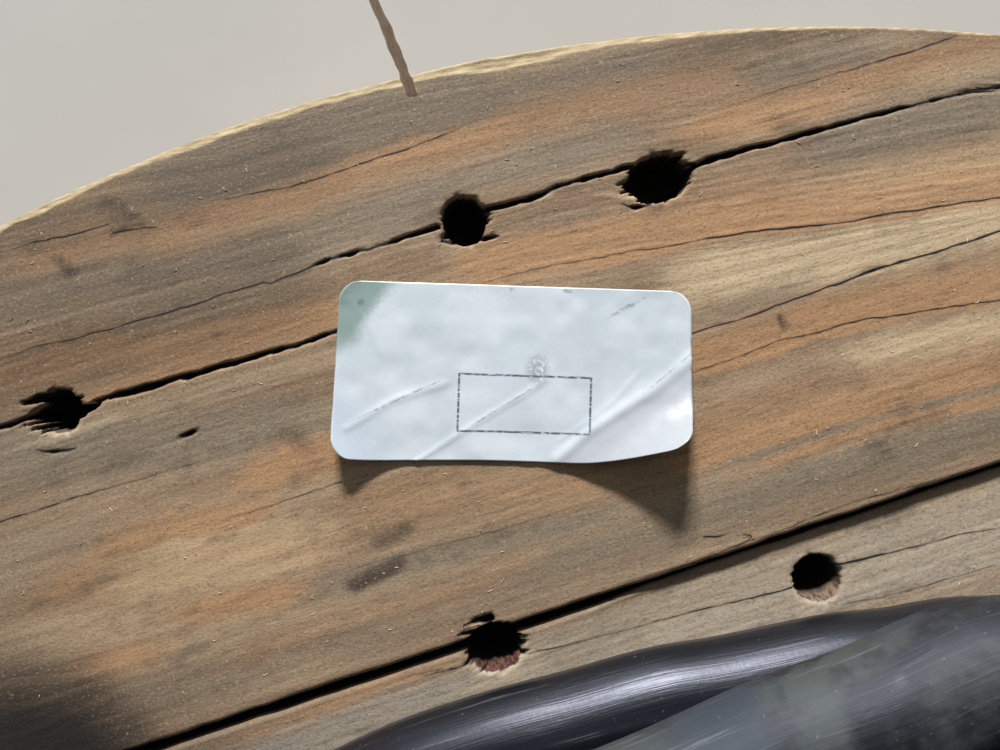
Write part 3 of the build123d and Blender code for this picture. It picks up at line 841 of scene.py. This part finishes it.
def view_board_material():
    """The boards that the photograph shows. Their maps give orange, pale, grey and stained stretches, and painted
    shade, whose edges break up along the fibres, and the cracks, recesses and the fresh torn rim. Recesses, cracks and
    the joint are painted dark to black where shade falls; only the lit lower walls of recesses keep a wood colour."""
    w, spot = new_material("weathered_pine_face")
    x, y, z = spot
    tone, fibre, line, streak = wood_tone(w, x, w.map("figure"), 1.0)
    ragged = (streak - 0.5) * 0.55 + (fibre - 0.5) * 0.4
    # The stain map gives real stains and painted shade alike.
    for name, target, low, high, strength in (
        ("ash", ash_wood, 0.02, 0.90, 0.86),
        ("pale", pale_wood, 0.02, 0.78, 0.86),
        ("grey", grey_wood, 0.02, 0.72, 0.75),
        ("orange", orange_wood, 0.02, 0.72, 0.86),
        ("stain_and_shade", stain_and_shade_brown, 0.10, 0.95, 0.86),
    ):
        value = w.map(name)
        tone = w.layered(tone, (value + ragged * value.rise(0.02, 0.3), low, high, strength, target))
    tone, fuzz = finish_wood(w, spot, tone, fibre, line, streak, 2.0)
    worn = w.map("worn") + (fibre - 0.5) * 2.0
    # The strongest stain map goes near black: small real dark spots, and painted shade in the lower left corner.
    tone = w.layered(tone, (w.map("stain_and_shade"), 0.8, 1.6, 0.92, deep_black), (worn, -0.3, 1.6, 0.35, stain_and_shade_brown))
    fresh = (w.map("fresh") + (streak - 0.5) * 1.6 + (fibre - 0.5) * 1.2).rise(-0.2, 0.35)
    tone = w.mix(fresh, tone, w.mix(fibre.rise(0.35, 0.65), (136, 116, 84), (172, 156, 122)))
    gap = w.map("gap") + (fibre - 0.5) * 0.9
    below = z * -1000.0 + face_height * 1000.0
    radius = (x * x + y * y).root()
    lit = w.map("lower_wall") * below.rise(9.0, 3.5)
    torn = w.cloud(x * 900.0, y * 700.0, z * 300.0, 3.0, 0.6)
    wall = w.mix(w.map("rusty_wall"), w.mix(torn.rise(0.35, 0.6), (66, 51, 40), (128, 107, 86)),
                 w.mix(torn.rise(0.4, 0.6), (34, 20, 16), (96, 54, 40)))
    # Painted shade: recess rims darkened a little; inside, walls and bottom black, all but the lit lower wall.
    tone = w.layered(tone, (gap, 0.5, 0.0, 0.2, stain_and_shade_brown))
    tone = w.mix(gap.rise(0.15, -0.20), tone, w.mix(lit, deep_black, wall))
    # Painted shade: outside recesses, wood 3.4 to 5 mm or more below the face is painted black, except at the rim wall.
    inboard = radius.rise(flange_radius - 0.002, flange_radius - 0.003)
    tone = w.mix(below.rise(3.4, 5.0) * inboard * gap.rise(-0.4, 0.2), tone, deep_black)
    width = w.map("crack_width")
    crack = abs(w.map("crack_side")) - width - (fibre - 0.5) * 0.16
    real = width.rise(-0.02, 0.20)
    # A faint darker edge along each crack, and painted shade: black inside the crack's valley.
    tone = w.mix(crack.rise(0.55, 0.05) * real * 0.25, tone, stain_and_shade_brown)
    tone = w.mix(crack.rise(0.12, -0.10) * real, tone, deep_black)
    return w.shade(Roughness=0.78, Base_Color=tone, Normal=w.bump(fibre * 0.30 + fuzz * 0.40, 0.5, 0.0006))


def board_material(name, along_axis, seed):
    """The other flange boards, in the same pine. Which board a point lies in gives it its own run of figure, whose
    rings are distances from a slowly wandering heart, and long thin cracks follow the grain here and there, painted
    black as shade."""
    w, spot = new_material(name)
    x, y, z = spot
    along, across = (x, y) if along_axis == "x" else (y, x)
    number = (across / board_pitch + 0.5).whole()
    shift = number * 7.31 + seed
    wander = w.cloud(along * 2.2, shift, 0.0, 2.0)
    local = across - number * board_pitch + (wander - 0.5) * 0.11
    to_heart = w.cloud(along * 1.4, shift + 4.0, 0.0, 1.0) * 0.12 + 0.01 + (z * 0.35)
    figure = (local * local + to_heart * to_heart).root()
    tone, fibre, line, streak = wood_tone(w, along, figure, shift)
    patch = w.cloud(along * 3.0, across * 22.0, shift, 3.0, 0.6) + (streak - 0.5) * 0.25
    other = w.cloud(along * 4.0, across * 30.0, shift + 5.0, 3.0, 0.6) + (streak - 0.5) * 0.25
    tone = w.layered(tone, (patch, 0.52, 0.64, 0.7, orange_wood), (other, 0.54, 0.66, 0.6, grey_wood))
    tone = finish_wood(w, spot, tone, fibre, line, streak, seed)[0]
    normal = w.add("ShaderNodeSeparateXYZ", None, {0: w.add("ShaderNodeNewGeometry", None, None, 1)}, 2)
    side = abs(normal).rise(0.6, 0.3)
    sawn = w.cloud(x * 260.0, y * 260.0, z * 700.0, 3.0, 0.6)
    tone = w.mix(side * 0.6, tone, w.mix(sawn.rise(0.30, 0.70), brown_wood, tan_wood))
    split = w.cloud(along * 1.8, figure * 34.0, shift + 11.0, 1.0)
    where = w.cloud(along * 4.0, across * 16.0, shift + 2.0, 1.0).rise(0.56, 0.64)
    crack = (abs(split - 0.5) + (fibre - 0.5) * 0.006).rise(0.010, 0.002) * where * (1.0 - side)
    # Painted shade: the thin cracks are only a dent in the bump, and are painted black.
    tone = w.mix(crack, tone, deep_black)
    height = fibre * 0.7 - crack * 2.0 + side * sawn * 0.8
    return w.shade(Roughness=0.8, Base_Color=tone, Normal=w.bump(height, 0.6, 0.0008))


def stave_material():
    """Sawn pine staves, grain upright: the figure is how far round the barrel a point lies."""
    w, spot = new_material("sawn_pine_staves")
    x, y, z = spot
    staves, full_turn, barrel_radius = 18, 2 * math.pi, 0.27
    turn = w.maths("ARCTAN2", y, x)
    number = (turn * (staves / full_turn) + 0.5).whole()
    shift = number * 5.17
    wander = w.cloud(z * 3.0, shift, 0.0, 2.0)
    local = (turn - number * (full_turn / staves)) * barrel_radius + (wander - 0.5) * 0.05
    tone, fibre, line, streak = wood_tone(w, z, (local * local + 0.0004).root(), shift)
    tone = finish_wood(w, spot, tone, fibre, line, streak, 7.0)[0]
    return w.shade(Roughness=0.8, Base_Color=tone, Normal=w.bump(fibre * 0.7, 0.6, 0.0008))


def steel_material():
    """Dull steel with rust in cloudy patches, rough and not metallic where it rusts."""
    w, spot = new_material("rusty_steel")
    patch = w.grit(spot, 130.0, 5.0, 0.65)
    grit = w.grit(spot, 900.0, 3.0)
    rust = patch.rise(0.42, 0.60)
    rust_tone = w.mix(grit, (88, 50, 32), (140, 88, 54))
    steel_tone = w.mix(grit, (112, 110, 106), (150, 147, 142))
    return w.shade(Base_Color=w.mix(rust, steel_tone, rust_tone), Metallic=(1.0 - rust) * 0.85,
                   Roughness=rust * 0.35 + 0.5, Normal=w.bump(grit * rust + patch * 0.3, 0.5, 0.0006))


def cable_material():
    """Black cable sheath: satin, with scuffs drawn out along the cable and a dusty grey-green bloom that the dust map
    and cloudy noise thin out."""
    w, spot = new_material("black_cable_sheath")
    run, round_x, round_y = w.map("run"), w.map("round_x"), w.map("round_y")
    scuff = w.cloud(run * 26.0, round_x * 9.0, round_y * 9.0, 4.0, 0.65)
    lines = w.cloud(run * 12.0, round_x * 34.0, round_y * 34.0, 3.0, 0.6)
    blotch = w.grit(spot, 34.0, 5.0, 0.62)
    fine = w.grit(spot, 700.0, 2.0)
    hue = w.grit(spot, 26.0, 1.0, shift=7.0)
    dust = w.map("dust")
    bloom = (blotch * 1.0 + lines * 0.12 + dust * 0.42 - 0.36).rise(0.22, 0.62) * dust.rise(0.0, 0.9)
    pale_dust = w.mix(hue.rise(0.42, 0.60), (45, 52, 60), (60, 65, 62))
    dusty = w.mix(blotch.rise(0.41, 0.58), (7, 10, 13), pale_dust)
    tone = w.layered(w.mix(bloom * 0.85, (16, 18, 24), dusty), (scuff, 0.58, 0.72, 0.35, (116, 118, 128)),
                     (fine, 0.68, 0.78, 0.15, (150, 148, 140)))
    height = scuff * 0.4 + lines * (0.18 - bloom * 0.15) + fine * 0.1 + blotch * bloom * 0.5
    return w.shade(IOR=1.5, Specular_Tint=(0.80, 0.84, 1.0, 1.0), Base_Color=tone,
                   Roughness=bloom * 0.30 + scuff * 0.16 + 0.29, Normal=w.bump(height, 0.35, 0.0008))


# Dirt marks on the label: middle along and across it and reaches, in millimetres, and slope
label_marks = (
    (32.5, 20.3, 6.0, 0.8, -0.6), (-1.0, 24.3, 1.0, 0.9, 0.0), (15.0, 24.4, 1.6, 0.7, 0.0),
    (-45.0, 19.0, 1.2, 2.0, 0.0), (-33.5, -8.6, 15.0, 0.45, -0.47), (-5.0, -11.2, 14.0, 0.35, -0.65),
    (46.0, 2.5, 8.0, 0.5, -0.9), (-48.0, -17.0, 0.8, 0.8, 0.0),
)


def label_material():
    """Glossy bluish white paper with nothing printed but an empty ruled box, scuffed, with a grey-green top left
    corner, and its curled lower corners toned darker as painted shade.
    """
    w, _ = new_material("glossy_label")
    u, v = w.map("label_u") * 1000.0, w.map("label_v") * 1000.0
    spot = w.cloud(u * 0.9, v * 0.9, 0.0, 3.0)
    soft = w.cloud(u * 0.06, v * 0.06, 2.0, 3.0)
    dirt = w.cloud(u * 0.35, v * 0.35, 9.0, 5.0, 0.7)
    tone = w.mix(soft.rise(0.35, 0.65), (198, 208, 216), (212, 220, 228))
    # A grey-green patch over the top left corner, with a soft, noisy edge.
    grey_green_corner = (u + 44.0) * 0.8 - (v - 20.0) * 0.55 + (soft - 0.5) * 10.0 + (spot - 0.5) * 3.0
    tone = w.mix(grey_green_corner.rise(6.0, 0.5) * v.rise(0.0, 9.0) * 0.9, tone, (132, 154, 148))
    from_box = (abs(u - 3.6) - 19.2).larger(abs(v + 8.8) - 8.2)
    scuffed = w.cloud(u * 0.5, v * 1.6, 5.0, 4.0, 0.7).rise(0.36, 0.52)
    tone = w.mix(abs(from_box).rise(0.42, 0.22) * scuffed * 0.85, tone, (46, 48, 54))
    rubbed = ((u - 7.2) * (u - 7.2) * 0.07 + (v - 1.4) * (v - 1.4) * 0.05 + (spot - 0.5) * 3.0).rise(1.5, 0.2)
    tone = w.mix(rubbed * spot.rise(0.35, 0.6) * 0.6, tone, (110, 112, 112))
    tone = w.layered(tone, (dirt, 0.62, 0.78, 0.35, (150, 152, 150)))
    for mark_u, mark_v, reach_u, reach_v, slope in label_marks:
        off_u = (u - mark_u) * (1.0 / reach_u)
        off_v = (v - mark_v + (u - mark_u) * slope) * (1.0 / reach_v)
        mark = (off_u * off_u + off_v * off_v + (spot - 0.5) * 2.4).rise(1.2, 0.1)
        tone = w.mix(mark * dirt.rise(0.35, 0.60) * 0.55, tone, (92, 96, 94))
    # Painted shade: the two curled lower corners are toned darker where they bend up.
    tone = w.layered(tone, (u * 0.62 - v * 0.79, 23.0, 33.0, 0.95, (161, 166, 171)),
                     (u * -0.77 - v * 0.64, 36.0, 48.0, 0.8, (168, 178, 190)))
    tone = w.mix(w.map("backing") * 0.7, tone, (190, 184, 170))
    return w.shade(IOR=1.45, Base_Color=tone, Roughness=dirt * 0.25 + 0.16,
                   Normal=w.bump(soft * 0.6 + spot * 0.06, 0.25, 0.0012))


def splinter_material():
    """Pine fibre paler than the pine's own colour, darker at its foot: painted light, so that the splinter's shaded
    face and the small fibres look lit.
    """
    w, (x, y, z) = new_material("torn_fibre")
    fibre = w.cloud(x * 1500.0, y * 1500.0, z * 60.0, 3.0)
    # Painted light: these near-white tans stand in for light that the splinter's shaded face does not get.
    tone = w.mix(fibre.rise(0.3, 0.7), (232, 206, 178), (252, 236, 214))
    tone = w.layered(tone, (w.map("tip"), 0.12, 0.0, 0.6, stain_and_shade_brown))
    return w.shade(Roughness=0.75, Base_Color=tone, Normal=w.bump(fibre, 0.5, 0.0004))


def floor_material():
    """Plain pale grey floor with a faint mottle."""
    w, (x, y, z) = new_material("plain_floor")
    mottle = w.cloud(x * 14.0, y * 14.0, z, 4.0, 0.6)
    return w.shade(Roughness=0.85, Base_Color=w.mix(mottle, (166, 164, 160), (178, 176, 172)))


def paint(nodes, material):
    """Gives the CAD nodes a finish in place of their own."""
    for name in nodes:
        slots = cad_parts[name].material_slots
        for item in slots:
            item.material = material
        if not slots:
            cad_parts[name].data.materials.append(material)


def nail_places():
    """Where nail heads show at the bottoms of recesses: two rings on each flange, each nail a little off its even
    place. The five recesses in the photograph are black to the bottom, so they have none."""
    result = []
    for inset, count, beat in ((0.046, 20, 2.4), (0.160, 12, 1.7)):
        for i in range(count):
            radius = flange_radius - inset - 0.004 * math.sin(beat * i)
            degrees = i * 360 / count + 3 * math.cos(beat * i)
            x, y = radius * math.cos(math.radians(degrees)), radius * math.sin(math.radians(degrees))
            result.append((x, y, upper_face_height + cad_recess_depth, -1))
            if not 60 < degrees < 112:
                result.append((x, y, face_height - cad_recess_depth, 1))
    return result


def add_floor():
    size = 40.0
    mesh = bpy.data.meshes.new("floor")
    mesh.from_pydata([(-size, -size, 0), (size, -size, 0), (size, size, 0), (-size, size, 0)], [], [(0, 1, 2, 3)])
    mesh.materials.append(floor_material())
    add_object("floor", mesh)


def add_light(name, direction, elevation, distance, target, power, size, tint):
    """An area light in a direction round the drum and at an elevation, turned to its target."""
    data = bpy.data.lights.new(name, "AREA")
    data.shape = "RECTANGLE"
    data.size, data.size_y = size
    data.energy = power
    data.color = tint
    lamp = add_object(name, data)
    flat = math.cos(math.radians(elevation))
    back = np.array([math.cos(math.radians(direction)) * flat, math.sin(math.radians(direction)) * flat,
                     math.sin(math.radians(elevation))])
    side = np.cross([0, 0, 1.0], back)
    side /= np.linalg.norm(side)
    turn = Matrix(np.stack([side, np.cross(back, side), back], -1).tolist())
    lamp.matrix_world = Matrix.Translation((np.array(target) + back * distance).tolist()) @ turn.to_4x4()


def add_world():
    """Soft pale surroundings, the same all round."""
    world = bpy.data.worlds.new("studio")
    bpy.context.scene.world = world
    world.use_nodes = True
    background = world.node_tree.nodes["Background"]
    background.inputs["Color"].default_value = (0.89, 0.97, 1.0, 1.0)
    background.inputs["Strength"].default_value = 0.34


def add_camera():
    """Between the flanges, above the middle of what the photograph shows, looking straight down."""
    data = bpy.data.cameras.new("camera")
    data.sensor_fit = "HORIZONTAL"
    data.sensor_width = 36.0
    data.lens = 27.04
    data.clip_start = 0.01
    camera = add_object("camera", data)
    x, y = on_face(500, 375)
    turn = Matrix(((photo_right[0], photo_up[0], 0), (photo_right[1], photo_up[1], 0), (0, 0, 1)))
    camera.matrix_world = Matrix.Translation((x, y, face_height + camera_height)) @ turn.to_4x4()
    bpy.context.scene.camera = camera


add_camera()
face_pine = view_board_material()
rim_board(face_pine)
second_board(face_pine)
torn_fibre = splinter_material()
splinter(torn_fibre)
dust_fibres(torn_fibre)
winding(cable_material())
label(label_material())
rusty_steel = steel_material()
nail_heads(rusty_steel, nail_places())

for layer, count, axis, number, seed in (
    ("lower_inner", 5, "x", 1, 3.0), ("lower_outer", 7, "y", 2, 13.0),
    ("upper_inner", 7, "y", 3, 23.0), ("upper_outer", 7, "x", 4, 33.0),
):
    boards = [f"{layer}_board_{i}" for i in range(1, count + 1)]
    paint(boards, board_material(f"weathered_pine_{number}", axis, seed))
paint([f"barrel_stave_{i:02d}" for i in range(1, 19)], stave_material())
paint([f"tie_bolt_{i}" for i in range(1, 5)] + ["tie_nuts", "tie_washers"], rusty_steel)

add_floor()
add_world()
label_middle = (*on_face(512, 368), face_height)
add_light("window", 78.0, 25, 3.0, label_middle, 184.0, (0.68, 0.28), (1.0, 0.985, 0.972))
add_light("fill", 250.0, 48, 2.6, (0, 0, 0.26), 34.0, (1.6, 1.6), (1.0, 1.0, 1.0))

bpy.context.scene.view_settings.view_transform = "Standard"
